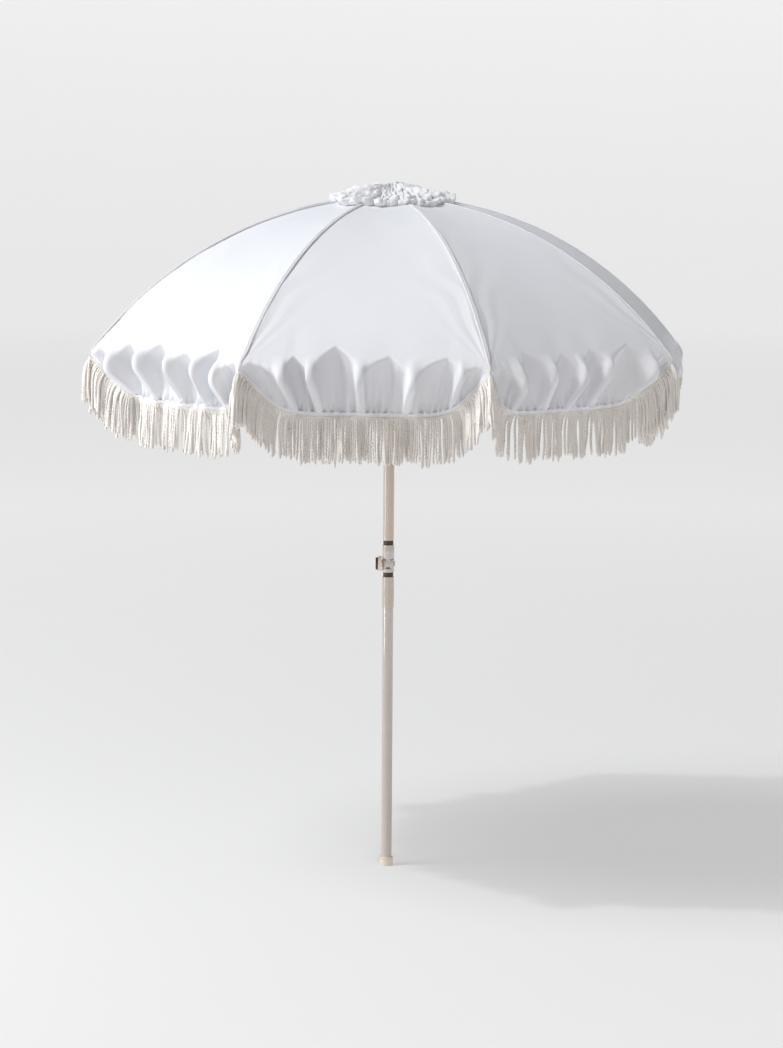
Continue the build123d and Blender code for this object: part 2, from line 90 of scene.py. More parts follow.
STRANDS = 148  # on one side, with the bunches at the rib tips
TIP_STRANDS = 8
STRAND_LENGTH = 0.128
STRAND_RADIUS = 0.0036
STRAND_ROWS, STRAND_SIDES = 50, 8
STRAND_TWIST = 0.020  # length of one turn of the plies
BUNCH_WIDTH = 0.016  # of the strands bunched at a rib tip, along the hem
LOCK_CHANCE = 0.42  # that a strand starts a new lock
CORD_RADIUS, CORD_TWIST, CORD_STEPS, CORD_SIDES = 0.0036, 0.011, 900, 10  # the cord that heads the fringe
CORD_BELOW = 0.0098  # the heading cord's middle, past the cloth's edge
TAPE_HALF = 0.0013  # half the tape's thickness
STRIP_UV = 0.002  # from one point of a tape's or seam's outline to the next, in its weave's coordinates

SEAM_TOP = 0.12  # where the seams start, along the cloth from its middle
SEAM_ROWS = 220
STITCH_PITCH, STITCH_SHARE, STITCH_RADIUS = 0.0042, 0.72, 0.00042  # share of the pitch that shows thread
STITCH_ROWS = (0.0052, 0.0088)  # sideways from the rib
CAP_BEFORE_TIP, CAP_UNDER_CLOTH, CAP_SIDES = 0.006, 0.0052, 16  # place of a rib tip's cap

ROSETTE_TOP, ROSETTE_MIDDLE = 0.033, 0.016  # height over the cloth, and what the middle adds to it
ROSETTE_COLUMNS, ROSETTE_ROWS = 84, 22
ROSETTE_STRIP = 0.09  # width of the strips that the puffs are gathered from
KNOB_FACE_DEPTH, KNOB_FACE_EDGE = 0.0072, 0.0004  # of the dark face, and of the blur at its edge


def side_angle(side):
    x, y, _ = JOINTS[f"gore_fold_{side}"]["pos_m"]
    return atan2(y, x)


def rib_angle(number):
    x, y, _ = JOINTS[f"rib_fold_{number}"]["pos_m"]
    return atan2(y, x)


# ---------------------------------------------------------------- mesh helpers
def new_object(name, points, faces, material, uvs=None):
    """Make a smooth mesh object from arrays of points and of four-cornered faces."""
    mesh = bpy.data.meshes.new(name)
    points = np.asarray(points, np.float32).reshape(-1, 3)
    faces = np.asarray(faces, np.int32)
    sides = faces.shape[1]
    mesh.vertices.add(len(points))
    mesh.vertices.foreach_set("co", points.ravel())
    mesh.loops.add(faces.size)
    mesh.loops.foreach_set("vertex_index", faces.ravel())
    mesh.polygons.add(len(faces))
    mesh.polygons.foreach_set("loop_start", np.arange(0, faces.size, sides, dtype=np.int32))
    mesh.update(calc_edges=True)
    mesh.validate()
    if uvs is not None:
        layer = mesh.uv_layers.new(name="cloth")
        corners = np.asarray(uvs, np.float32).reshape(-1, 2)[faces.ravel()]
        layer.data.foreach_set("uv", corners.ravel())
    mesh.shade_smooth()
    mesh.materials.append(material)
    piece = bpy.data.objects.new(name, mesh)
    bpy.context.scene.collection.objects.link(piece)
    return piece


def grid_faces(rows, columns, closed=False, first=0):
    """Four-cornered faces of a grid of points stored row by row."""
    across = columns if closed else columns - 1
    i, j = np.meshgrid(np.arange(rows - 1), np.arange(across), indexing="ij")
    right = (j + 1) % columns
    corners = [i * columns + j, i * columns + right, (i + 1) * columns + right, (i + 1) * columns + j]
    return first + np.stack(corners, -1).reshape(-1, 4)


def tube_points(paths, radii, sides, lobes=0, twist=None, depth=0.0):
    """Rings of points around many paths at once: paths is (count, rows, 3), radii is (count, rows)."""
    along = np.gradient(paths, axis=1)
    along /= np.linalg.norm(along, axis=2, keepdims=True)
    steady = np.where(np.abs(along[..., 2:3]) > 0.7, [1.0, 0.0, 0.0], [0.0, 0.0, 1.0])
    across = np.cross(along, steady)
    across /= np.linalg.norm(across, axis=2, keepdims=True)
    upright = np.cross(along, across)
    turn = np.arange(sides) / sides * 2 * pi
    size = radii[..., None]
    if lobes:
        size = size * (1 + depth * np.cos(lobes * (turn[None, None, :] - twist[..., None])))
    turn = turn[None, None, :, None]
    ring = np.cos(turn) * across[:, :, None] + np.sin(turn) * upright[:, :, None]
    return paths[:, :, None] + size[..., None] * ring


def many_tubes(points):
    """Faces for the rings of tube_points. The ends stay open and are as narrow as their last rings."""
    count, rows, sides, _ = points.shape
    one = grid_faces(rows, sides, closed=True)
    return (one[None] + (np.arange(count) * rows * sides)[:, None, None]).reshape(-1, 4)


def surface_normals(points):
    """Unit normals of a grid of points, outward for a side seen from outside."""
    down, across = np.gradient(points, axis=0), np.gradient(points, axis=1)
    normal = np.cross(down, across)
    length = np.linalg.norm(normal, axis=2, keepdims=True)
    return normal / np.maximum(length, 1e-12)


def to_world(local, angle):
    """Turn points given as outward, sideways and up on one side into the row's frame."""
    outward, sideways, up = local[..., 0], local[..., 1], local[..., 2]
    x = outward * cos(angle) - sideways * sin(angle)
    y = outward * sin(angle) + sideways * cos(angle)
    return np.stack([x, y, up], -1)


# ---------------------------------------------------------------- materials
def new_material(name, colour, roughness):
    """A material with one Principled shader, and that shader."""
    material = bpy.data.materials.new(name)
    material.use_nodes = True
    shader = material.node_tree.nodes["Principled BSDF"]
    shader.inputs["Base Color"].default_value = (*colour, 1)
    shader.inputs["Roughness"].default_value = roughness
    return material, shader


def add_node(material, kind, **values):
    """Add a node, set its sockets by name, and return it."""
    node = material.node_tree.nodes.new(kind)
    for key, value in values.items():
        node.inputs[key.replace("_", " ")].default_value = value
    return node


def link(material, source, target):
    material.node_tree.links.new(source, target)


def mix_colours(material, factor, first, second):
    """Blend from the first colour to the second as the factor goes from 0 to 1."""
    mix = material.node_tree.nodes.new("ShaderNodeMix")
    mix.data_type = "RGBA"
    link(material, factor, mix.inputs[0])
    mix.inputs[6].default_value = (*first, 1)
    mix.inputs[7].default_value = (*second, 1)
    return mix.outputs[2]


def ramp(material, factor, low, high):
    """Spread a factor between low and high over 0 to 1."""
    node = material.node_tree.nodes.new("ShaderNodeMapRange")
    node.inputs["From Min"].default_value = low
    node.inputs["From Max"].default_value = high
    link(material, factor, node.inputs["Value"])
    return node.outputs["Result"]


def noise(material, coordinates, scale, detail=4.0, roughness=0.55):
    node = add_node(material, "ShaderNodeTexNoise", Scale=scale, Detail=detail, Roughness=roughness)
    link(material, coordinates, node.inputs["Vector"])
    return node.outputs["Fac"]


def waves(material, coordinates, scale, direction, distortion=0.6):
    node = add_node(material, "ShaderNodeTexWave", Scale=scale, Distortion=distortion, Detail=1.0)
    node.bands_direction = direction
    link(material, coordinates, node.inputs["Vector"])
    return node.outputs["Fac"]


def combine(material, operation, first, second):
    node = material.node_tree.nodes.new("ShaderNodeMath")
    node.operation = operation
    link(material, first, node.inputs[0])
    if isinstance(second, (int, float)):
        node.inputs[1].default_value = second
    else:
        link(material, second, node.inputs[1])
    return node.outputs[0]


def bump(material, shader, height, distance, strength=1.0):
    node = add_node(material, "ShaderNodeBump", Distance=distance, Strength=strength)
    link(material, height, node.inputs["Height"])
    link(material, node.outputs["Normal"], shader.inputs["Normal"])


def coordinates_of(material, output="Object"):
    return material.node_tree.nodes.new("ShaderNodeTexCoord").outputs[output]


THREAD_SCALE = 190.0  # of the weave's waves, which makes threads about 1.7 mm apart


def woven_cloth(name, light, dark, through=0.10):
    """Plain weave canvas: threads both ways, slubs, faint unevenness, and a little light let through."""
    material, shader = new_material(name, light, 0.82)
    cloth = coordinates_of(material, "UV")
    place = coordinates_of(material)
    warp = waves(material, cloth, THREAD_SCALE, "X", 0.35)
    weft = waves(material, cloth, THREAD_SCALE, "Y", 0.35)
    weave = combine(material, "MULTIPLY", warp, weft)
    slub = noise(material, cloth, 260.0, 3.0)
    mottle = noise(material, place, 5.0, 5.0)
    height = combine(material, "ADD", weave, combine(material, "MULTIPLY", slub, 0.7))
    bump(material, shader, height, 0.00035, 0.55)
    mottle, weave = combine(material, "MULTIPLY", mottle, 0.75), combine(material, "MULTIPLY", weave, 0.25)
    tone = combine(material, "ADD", mottle, weave)
    colour = mix_colours(material, ramp(material, tone, 0.25, 0.75), dark, light)
    link(material, colour, shader.inputs["Base Color"])
    shader.inputs["Sheen Weight"].default_value = 0.12
    shader.inputs["Sheen Roughness"].default_value = 0.6
    shader.inputs["Specular IOR Level"].default_value = 0.25
    translucent = material.node_tree.nodes.new("ShaderNodeBsdfTranslucent")
    blend = material.node_tree.nodes.new("ShaderNodeMixShader")
    blend.inputs[0].default_value = through
    output = material.node_tree.nodes["Material Output"]
    link(material, colour, translucent.inputs["Color"])
    link(material, shader.outputs[0], blend.inputs[1])
    link(material, translucent.outputs[0], blend.inputs[2])
    link(material, blend.outputs[0], output.inputs["Surface"])
    return material


def twisted_cotton(name, light, dark):
    """Loose twisted cotton: plies that wind along the strand, with fluff and strand-to-strand variation."""
    material, shader = new_material(name, light, 0.9)
    strand = coordinates_of(material, "UV")
    place = coordinates_of(material)
    ply = waves(material, strand, 1.0, "DIAGONAL", 0.4)
    fluff = noise(material, place, 900.0, 4.0)
    clump = noise(material, place, 38.0, 3.0)
    height = combine(material, "ADD", ply, combine(material, "MULTIPLY", fluff, 0.8))
    bump(material, shader, height, 0.0009, 0.7)
    clump, ply = combine(material, "MULTIPLY", clump, 0.7), combine(material, "MULTIPLY", ply, 0.3)
    tone = ramp(material, combine(material, "ADD", clump, ply), 0.28, 0.72)
    link(material, mix_colours(material, tone, dark, light), shader.inputs["Base Color"])
    shader.inputs["Sheen Weight"].default_value = 0.60
    shader.inputs["Specular IOR Level"].default_value = 0.15
    return material


def enamel(name, light, dark, roughness, coat=0.0):
    """Sprayed enamel or satin plastic with a faint orange peel and slight wear of tone."""
    material, shader = new_material(name, light, roughness)
    place = coordinates_of(material)
    peel = noise(material, place, 420.0, 3.0)
    tone = noise(material, place, 14.0, 6.0, 0.62)
    scuff = noise(material, place, 120.0, 6.0, 0.7)
    bump(material, shader, peel, 0.00008, 0.35)
    colour = mix_colours(material, ramp(material, tone, 0.3, 0.7), dark, light)
    link(material, colour, shader.inputs["Base Color"])
    gloss = material.node_tree.nodes.new("ShaderNodeMapRange")
    gloss.inputs["From Min"].default_value = 0.35
    gloss.inputs["From Max"].default_value = 0.75
    gloss.inputs["To Min"].default_value = roughness - 0.06
    gloss.inputs["To Max"].default_value = roughness + 0.10
    link(material, scuff, gloss.inputs["Value"])
    link(material, gloss.outputs["Result"], shader.inputs["Roughness"])
    shader.inputs["Coat Weight"].default_value = coat
    return material


def plated_steel(name, colour, roughness):
    """Plated or plain metal with a fine grain and slightly dull patches."""
    material, shader = new_material(name, colour, roughness)
    place = coordinates_of(material)
    grain = noise(material, place, 600.0, 4.0)
    tone = noise(material, place, 60.0, 5.0)
    darker = tuple(0.8 * part for part in colour)
    patches = mix_colours(material, ramp(material, tone, 0.3, 0.7), darker, colour)
    link(material, patches, shader.inputs["Base Color"])
    bump(material, shader, grain, 0.00005, 0.4)
    shader.inputs["Metallic"].default_value = 1.0
    return material


CANVAS = woven_cloth("canvas", (0.825, 0.842, 0.882), (0.79, 0.806, 0.845), 0.08)
SEAM_CANVAS = woven_cloth("seam_canvas", (0.82, 0.83, 0.86), (0.77, 0.78, 0.81), 0.03)
# The rosette uses the canopy's canvas painted lighter: painted light that offsets the shade its puffs cast on one
# another.
ROSETTE_CANVAS_PAINTED_LIGHTER = woven_cloth("rosette_canvas_painted_lighter", (0.945, 0.955, 0.97), (0.91, 0.92, 0.935), 0.18)
COTTON = twisted_cotton("fringe_cotton", (0.95, 0.92, 0.89), (0.89, 0.84, 0.785))
THREAD = twisted_cotton("thread", (0.73, 0.73, 0.76), (0.64, 0.64, 0.67))
POLE_PAINT = enamel("pole_enamel", (0.62, 0.52, 0.44), (0.585, 0.485, 0.405), 0.32, 0.35)
LOWER_POLE_PAINT = enamel("lower_pole_enamel", (0.60, 0.53, 0.50), (0.565, 0.495, 0.465), 0.19, 1.0)
SLEEVE_PAINT = enamel("sleeve_enamel", (0.60, 0.53, 0.465), (0.565, 0.495, 0.43), 0.36, 0.25)
KNUCKLE_PAINT = enamel("knuckle_enamel", (0.64, 0.605, 0.575), (0.60, 0.565, 0.535), 0.42, 0.15)
CREAM_PLASTIC = enamel("cream_plastic", (0.80, 0.70, 0.60), (0.74, 0.64, 0.54), 0.42)
CAP_PLASTIC = enamel("rib_cap_plastic", (0.80, 0.78, 0.75), (0.74, 0.72, 0.69), 0.42)
DARK_PLASTIC = enamel("dark_plastic", (0.060, 0.038, 0.026), (0.038, 0.024, 0.017), 0.5)
HUB_PLASTIC = enamel("hub_plastic", (0.72, 0.69, 0.65), (0.66, 0.63, 0.59), 0.45)
RIB_PAINT = enamel("rib_enamel", (0.74, 0.72, 0.70), (0.68, 0.66, 0.64), 0.40, 0.2)
STEEL = plated_steel("zinc_plate", (0.62, 0.61, 0.59), 0.33)
BRASS = plated_steel("brass", (0.70, 0.52, 0.24), 0.30)


def knob_material():
    """The knob's body is cream and its outer face is dark brown."""
    material, shader = new_material("knob_plastic", (0.8, 0.7, 0.6), 0.4)
    place = coordinates_of(material)
    split = material.node_tree.nodes.new("ShaderNodeSeparateXYZ")
    link(material, place, split.inputs[0])
    low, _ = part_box("tilt_knob")
    face = low[0] + KNOB_FACE_DEPTH
    edge = ramp(material, split.outputs["X"], face - KNOB_FACE_EDGE, face + KNOB_FACE_EDGE)
    colour = mix_colours(material, edge, (0.050, 0.030, 0.021), (0.80, 0.69, 0.585))
    link(material, colour, shader.inputs["Base Color"])
    bump(material, shader, noise(material, place, 500.0), 0.00008, 0.4)
    return material


# ---------------------------------------------------------------- canopy cloth
def arc_place(length):
    """Where the cloth's middle line is, a signed length past the rim: (outward, up) at the seams' radius."""
    angle = RIM_ANGLE + np.minimum(length, 0) / ARC_RADIUS
    past = np.maximum(length, 0)
    r = ARC_RADIUS * np.sin(angle) + past * cos(RIM_ANGLE)
    z = ARC_CENTRE + ARC_RADIUS * np.cos(angle) - past * sin(RIM_ANGLE)
    return np.stack([r * cos(HALF_SIDE), z], -1)


def hem_share(q):
    """How far down its U shape the hem is, from 0 at the rib tips to 1 in the middle."""
    return (1 - np.abs(q) ** 8) ** 1.8


def gather_folds(side, q):
    """Where each column turns in from the canopy to the valance, and how near it is to a ridge, 0 to 1."""
    random = np.random.default_rng(40 + side)
    spacing = 2 / VALLEYS
    shift = random.uniform(-0.23, 0.23, VALLEYS - 1) * spacing
    ridges = np.concatenate([[-1.0], -1 + spacing * np.arange(1, VALLEYS) + shift, [1.0]])
    wide = np.diff(ridges)
    lean = np.linspace(-1, 1, VALLEYS)
    centres = ridges[:-1] + wide * (0.5 + 0.24 * lean + random.uniform(-0.10, 0.10, VALLEYS))
    tops = random.uniform(-0.080, -0.030, VALLEYS)
    tops[0], tops[-1] = -0.024, -0.024
    ends = random.uniform(0.028, 0.074, VALLEYS + 1)
    point = random.uniform(0.40, 0.66, VALLEYS)
    steep = random.uniform(3.0, 6.0, VALLEYS)
    turn_at = np.zeros_like(q)
    near = np.zeros_like(q)
    for i in range(VALLEYS):
        inside = (q >= ridges[i]) & (q <= ridges[i + 1])
        left = (q - centres[i]) / (ridges[i] - centres[i])
        right = (q - centres[i]) / (ridges[i + 1] - centres[i])
        off = np.clip(np.where(q < centres[i], left, right), 0, 1)
        end = np.where(q < centres[i], ends[i], ends[i + 1])
        rise = point[i] * off**1.05 + (1 - point[i]) * off ** steep[i]
        turn_at = np.where(inside, tops[i] + (end - tops[i]) * rise, turn_at)
        near = np.where(inside, off, near)
    envelope = 1 - np.abs(q) ** 12
    return turn_at * envelope, near * envelope


def column_profiles(turn_at, near, share):
    """Each column's line down the arc, round the fold and on to the hem, as (outward, up)."""
    hem_r = RIM_MIDDLE - HEM_INSET * share - TIP_HEM_IN
    hem = np.stack([hem_r, RIM_Z - HEM_DROP * share - TIP_HEM_DOWN], -1)
    start = np.full_like(turn_at, -GATHER_START)
    corner = arc_place(turn_at)
    to_hem = hem - corner
    reach = np.linalg.norm(to_hem, axis=1)
    wanted_round = CREASE_ROUND + (RIDGE_ROUND - CREASE_ROUND) * near**3.5
    rounding = np.minimum(wanted_round, 0.55 * reach)
    before = arc_place(turn_at - rounding)
    after = corner + to_hem / reach[:, None] * rounding[:, None]

    t = np.linspace(0, 1, PROFILE_STEPS)[:, None]
    down_arc = arc_place(start[None] + t * (turn_at - rounding - start)[None])
    t3 = t[..., None]
    around = before * (1 - t3) ** 2 + 2 * corner * t3 * (1 - t3) + after * t3**2
    straight = after + (hem - after) * t3
    belly = (RIDGE_BELLY * near**4 - VALLEY_BELLY) * share
    straight[..., 0] += belly[None] * np.sin(pi * t) ** 0.9
    return np.concatenate([down_arc, around[1:], straight[1:]])


def even_rows(profile):
    """Rows at even steps along each column's own length, with the rim at the same length in all of them."""
    columns = profile.shape[1]
    steps = np.linalg.norm(np.diff(profile, axis=0), axis=2)
    length = np.concatenate([np.zeros((1, columns)), np.cumsum(steps, axis=0)])
    total = length[-1]
    lower = np.zeros((GATHER_ROWS + VALANCE_ROWS, columns, 2))
    depth = np.zeros((GATHER_ROWS + VALANCE_ROWS, columns))
    for column in range(columns):
        first = np.linspace(0, GATHER_START, GATHER_ROWS, endpoint=False)
        second = GATHER_START + (total[column] - GATHER_START) * np.linspace(0, 1, VALANCE_ROWS) ** 0.85
        wanted = np.concatenate([first, second])
        for axis in (0, 1):
            lower[:, column, axis] = np.interp(wanted, length[:, column], profile[:, column, axis])
        depth[:, column] = wanted

    ends = TOP_HOLE / ARC_RADIUS, RIM_ANGLE - GATHER_START / ARC_RADIUS
    upper_angle = np.linspace(*ends, UPPER_ROWS, endpoint=False)
    upper = arc_place(ARC_RADIUS * (upper_angle - RIM_ANGLE))
    upper = np.repeat(upper[:, None], columns, axis=1)
    upper_depth = (ARC_RADIUS * (upper_angle - RIM_ANGLE) + GATHER_START)[:, None]
    upper_depth = np.repeat(upper_depth, columns, axis=1)
    return np.concatenate([upper, lower]), np.concatenate([upper_depth, depth]), total


def tip_wrinkles(w, outward, past_rim, phase):
    """Pulled wrinkles that fan out from each rib tip along the seam."""
    up_seam = np.maximum(-past_rim, 0)
    off_seam = (1 - np.abs(w)) * outward * tan(HALF_SIDE)
    reach_tip = np.hypot(up_seam, off_seam)
    fan = np.arctan2(off_seam, np.maximum(up_seam, 1e-4))
    phases = np.where(w < 0, phase[0], phase[1])
    crest = np.sin(fan * 24 + phases + 1.6 * np.sin(reach_tip * 11 + phases) + 0.8 * np.sin(reach_tip * 29))
    fans = np.sign(crest) * np.abs(crest) ** 1.4 * np.exp(-fan / FAN_SPREAD)
    grow = (reach_tip / FAN_START) ** 1.5 / (1 + (reach_tip / FAN_START) ** 1.5)
    held = np.clip(off_seam / 0.010, 0, 1) * np.clip(up_seam / 0.05, 0, 1)
    return FAN_HEIGHT * fans * grow * np.exp(-reach_tip / FAN_REACH) * held


def valance_ridges(q, near, soft, share, down_share, in_valance, phase):
    """Narrow ridges down to the hem, and secondary folds between them."""
    thin = soft[None] ** (2 + 13 * down_share)
    ridges = RIDGE_HEIGHT * thin * in_valance * share[None]
    broad = np.sin(q * 52 + 3.0 * np.sin(q * 6 + phase[0]) + phase[1] + 1.5 * down_share)
    broad = broad * np.clip(1.15 - near[None], 0, 1)
    return ridges, FOLD_HEIGHT * broad * in_valance * share[None] * down_share**0.8


def hem_puckers(q, share, hem_distance, phase):
    """Fine puckers where the cloth is gathered on to its tape."""
    fine = np.sin(q * 96 + 3.1 * np.sin(q * 11 + phase[1]) + phase[0])
    fine = (fine + 0.6 * np.sin(q * 61 + 2.0 * np.sin(q * 7 + phase[0]))) * share
    reach_up = 0.014 + 0.026 * (0.5 + 0.5 * np.sin(q * 33 + phase[0]))
    near_hem = np.exp(-hem_distance / reach_up[None]) * np.clip(hem_distance / 0.003, 0, 1)
    return PUCKER_HEIGHT * fine[None] * near_hem


def side_cloth(side):
    """The points of one side's gore and valance, in the side's own directions, with the row of the rim."""
    q = np.linspace(-1, 1, CLOTH_COLUMNS)
    turn_at, near = gather_folds(side, q)
    share = hem_share(q)
    outline, depth, total = even_rows(column_profiles(turn_at, near, share))
    outward = outline[..., 0]
    past_rim = depth - GATHER_START
    hem_distance = np.maximum(total[None] - depth, 0)
    down_share = np.clip(depth / total[None], 0, 1)

    # the folds run in from the rib tips to the middle of the hem
    lean = 0.20 * (1 - np.abs(q) ** 3)
    w = q[None] * (1 + lean[None] * (1 - down_share) ** 1.2)
    w = np.clip(w, -1, 1)
    points = np.stack([outward, w * outward * tan(HALF_SIDE), outline[..., 1]], -1)
    normal = surface_normals(points)

    middle = 1 - w**2
    from_top = np.clip((past_rim + ARC_RADIUS * RIM_ANGLE) / (ARC_RADIUS * RIM_ANGLE), 0, 1)
    move = -SAG * middle * np.sin(pi * from_top) ** 0.8
    phase = np.random.default_rng(7 + side).uniform(0, 2 * pi, 2)
    move = move + tip_wrinkles(w, outward, past_rim, phase)

    # the cloth above the gathers is drawn into shallow folds that line up with them
    drawn = np.exp(-(((past_rim + DRAWN_ABOVE) / DRAWN_WIDTH) ** 2))
    soft = 0.5 - 0.5 * np.cos(pi * near)
    move = move + DRAWN_HEIGHT * (soft[None] - 0.5) * drawn * share[None]

    # slight slackness all over the cloth
    sideways = points[..., 1]
    slack = np.sin(9 * sideways + 3.1 * past_rim + phase[0]) * np.sin(7 * past_rim + phase[1])
    ripple = np.sin(23 * sideways - 11 * past_rim + phase[1]) * np.sin(15 * past_rim + phase[0])
    move = move + (SLACK_HEIGHT * slack + RIPPLE_HEIGHT * ripple) * middle

    in_valance = np.clip((depth - 0.070) / 0.05, 0, 1) * np.clip(hem_distance / 0.02, 0, 1)
    ridges, folds = valance_ridges(q, near, soft, share, down_share, in_valance, phase)
    move = move + ridges + folds + hem_puckers(q, share, hem_distance, phase)
    points = points + move[..., None] * normal

    uv = np.stack([np.broadcast_to(sideways, depth.shape), depth], -1)
    return points, uv, UPPER_ROWS + GATHER_ROWS


def squash_side(piece):
    """Give the piece its own copy of its mesh data."""
    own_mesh(piece)


def cloth_piece(name, points, normals, uv, material):
    """A closed skin of two layers, shaded with the normals given, so that neighbouring pieces meet unseen."""
    rows, columns, _ = points.shape
    outer = grid_faces(rows, columns)
    count = rows * columns
    inside = points - CLOTH_THICKNESS * normals
    last = (rows - 1) * columns
    edge = np.concatenate([
        np.arange(columns),
        np.arange(2, rows + 1) * columns - 1,
        last + np.arange(columns - 2, -1, -1),
        np.arange(rows - 2, 0, -1) * columns,
    ])
    after = np.roll(edge, -1)
    wall = np.stack([edge, after, after + count, edge + count], -1)
    faces = np.concatenate([outer[:, ::-1], outer + count, wall])
    both = np.concatenate([points.reshape(-1, 3), inside.reshape(-1, 3)])
    piece = new_object(name, both, faces, material, np.concatenate([uv.reshape(-1, 2)] * 2))
    shading = np.concatenate([normals.reshape(-1, 3), -normals.reshape(-1, 3)])
    piece.data.normals_split_custom_set_from_vertices(shading.tolist())
    return piece


def sheet_area(points):
    """The area of a grid of points."""
    down, across = np.diff(points, axis=0)[:, :-1], np.diff(points, axis=1)[:-1]
    return float(np.linalg.norm(np.cross(down, across), axis=2).sum())


def make_side(side):
    """One side's gore, valance, tape, heading cord and fringe, attached to the bodies they ride on; the gore and
    valance hide the frame's parts that they replace.
    """
    angle = side_angle(side)
    points, uv, rim_row = side_cloth(side)
    world = to_world(points, angle)
    normals = surface_normals(world)
    upper, lower = slice(0, rim_row + 1), slice(rim_row, None)
    gore = cloth_piece(f"canopy_cloth_{side}", world[upper], normals[upper], uv[upper], CANVAS)
    drop = cloth_piece(f"valance_cloth_{side}", world[lower], normals[lower], uv[lower], CANVAS)
    for piece, body, slot, node in (
        (gore, f"gore_{side}", "canopy_cloth", f"canopy_gore_{side}"),
        (drop, f"valance_{side}", "valance_cloth", f"valance_{side}"),
    ):
        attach(piece, body)
        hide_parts(node)
    tape, cord, hem, away = make_tape(side, world)
    fringe = make_fringe(side, hem, away, angle)
    for piece, slot in ((tape, "valance_cloth"), (cord, "fringe_cotton"), (fringe, "fringe_cotton")):
        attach(piece, f"valance_{side}")
    for piece in (gore, drop, tape, cord, fringe):
        squash_side(piece)


# ---------------------------------------------------------------- tape and fringe
def make_tape(side, world):
    """The cloth's bound edge, and the twisted cord that heads the fringe under it."""
    edge = world[-1]
    along = np.gradient(edge, axis=0)
    along /= np.linalg.norm(along, axis=1, keepdims=True)
    away = edge - world[-5]
    away -= (away * along).sum(1, keepdims=True) * along
    smooth = np.hanning(17)
    smooth /= smooth.sum()
    away = np.stack([np.convolve(np.pad(away[:, i], 8, mode="edge"), smooth, "valid") for i in range(3)], 1)
    away /= np.linalg.norm(away, axis=1, keepdims=True)
    facing = np.cross(away, along)
    facing /= np.linalg.norm(facing, axis=1, keepdims=True)
    outline = [  # past the edge, and half the thickness there as a share of TAPE_HALF
        (-0.0050, 0.5), (-0.0042, 1.3), (-0.0010, 1.5), (0.0030, 1.2), (0.0052, 1.5), (0.0070, 1.1), (0.0076, 0.3),
    ]
    front = [edge + a * away + f * TAPE_HALF * facing for a, f in outline]
    back = [edge + a * away - f * TAPE_HALF * facing for a, f in reversed(outline)]
    rings = np.stack(front + back, 1)
    rows, sides, _ = rings.shape
    length = np.concatenate([[0], np.cumsum(np.linalg.norm(np.diff(edge, axis=0), axis=1))])
    uv = np.stack(np.meshgrid(length, np.arange(sides) * STRIP_UV, indexing="ij"), -1)
    faces = grid_faces(rows, sides, closed=True)
    tape = new_object(f"edge_tape_{side}", rings.reshape(-1, 3), faces, SEAM_CANVAS, uv.reshape(-1, 2))

    at = np.linspace(0, length[-1], CORD_STEPS)
    middle = edge + CORD_BELOW * away
    path = np.stack([np.interp(at, length, middle[:, i]) for i in range(3)], 1)[None]
    ends = np.clip(np.minimum(at, length[-1] - at) / 0.003, 0.1, 1)[None]
    twist = (at / CORD_TWIST * 2 * pi)[None]
    points = tube_points(path, CORD_RADIUS * ends, CORD_SIDES, lobes=2, twist=twist, depth=0.22)
    shape = (1, CORD_STEPS, CORD_SIDES)
    around = np.broadcast_to(np.arange(CORD_SIDES) / CORD_SIDES * 2.0, shape)
    run = np.broadcast_to((at * 260.0)[None, :, None], shape)
    cord = new_object(
        f"fringe_heading_{side}",
        points.reshape(-1, 3),
        many_tubes(points),
        COTTON,
        np.stack([around, run], -1).reshape(-1, 2),
    )
    return tape, cord, middle, away


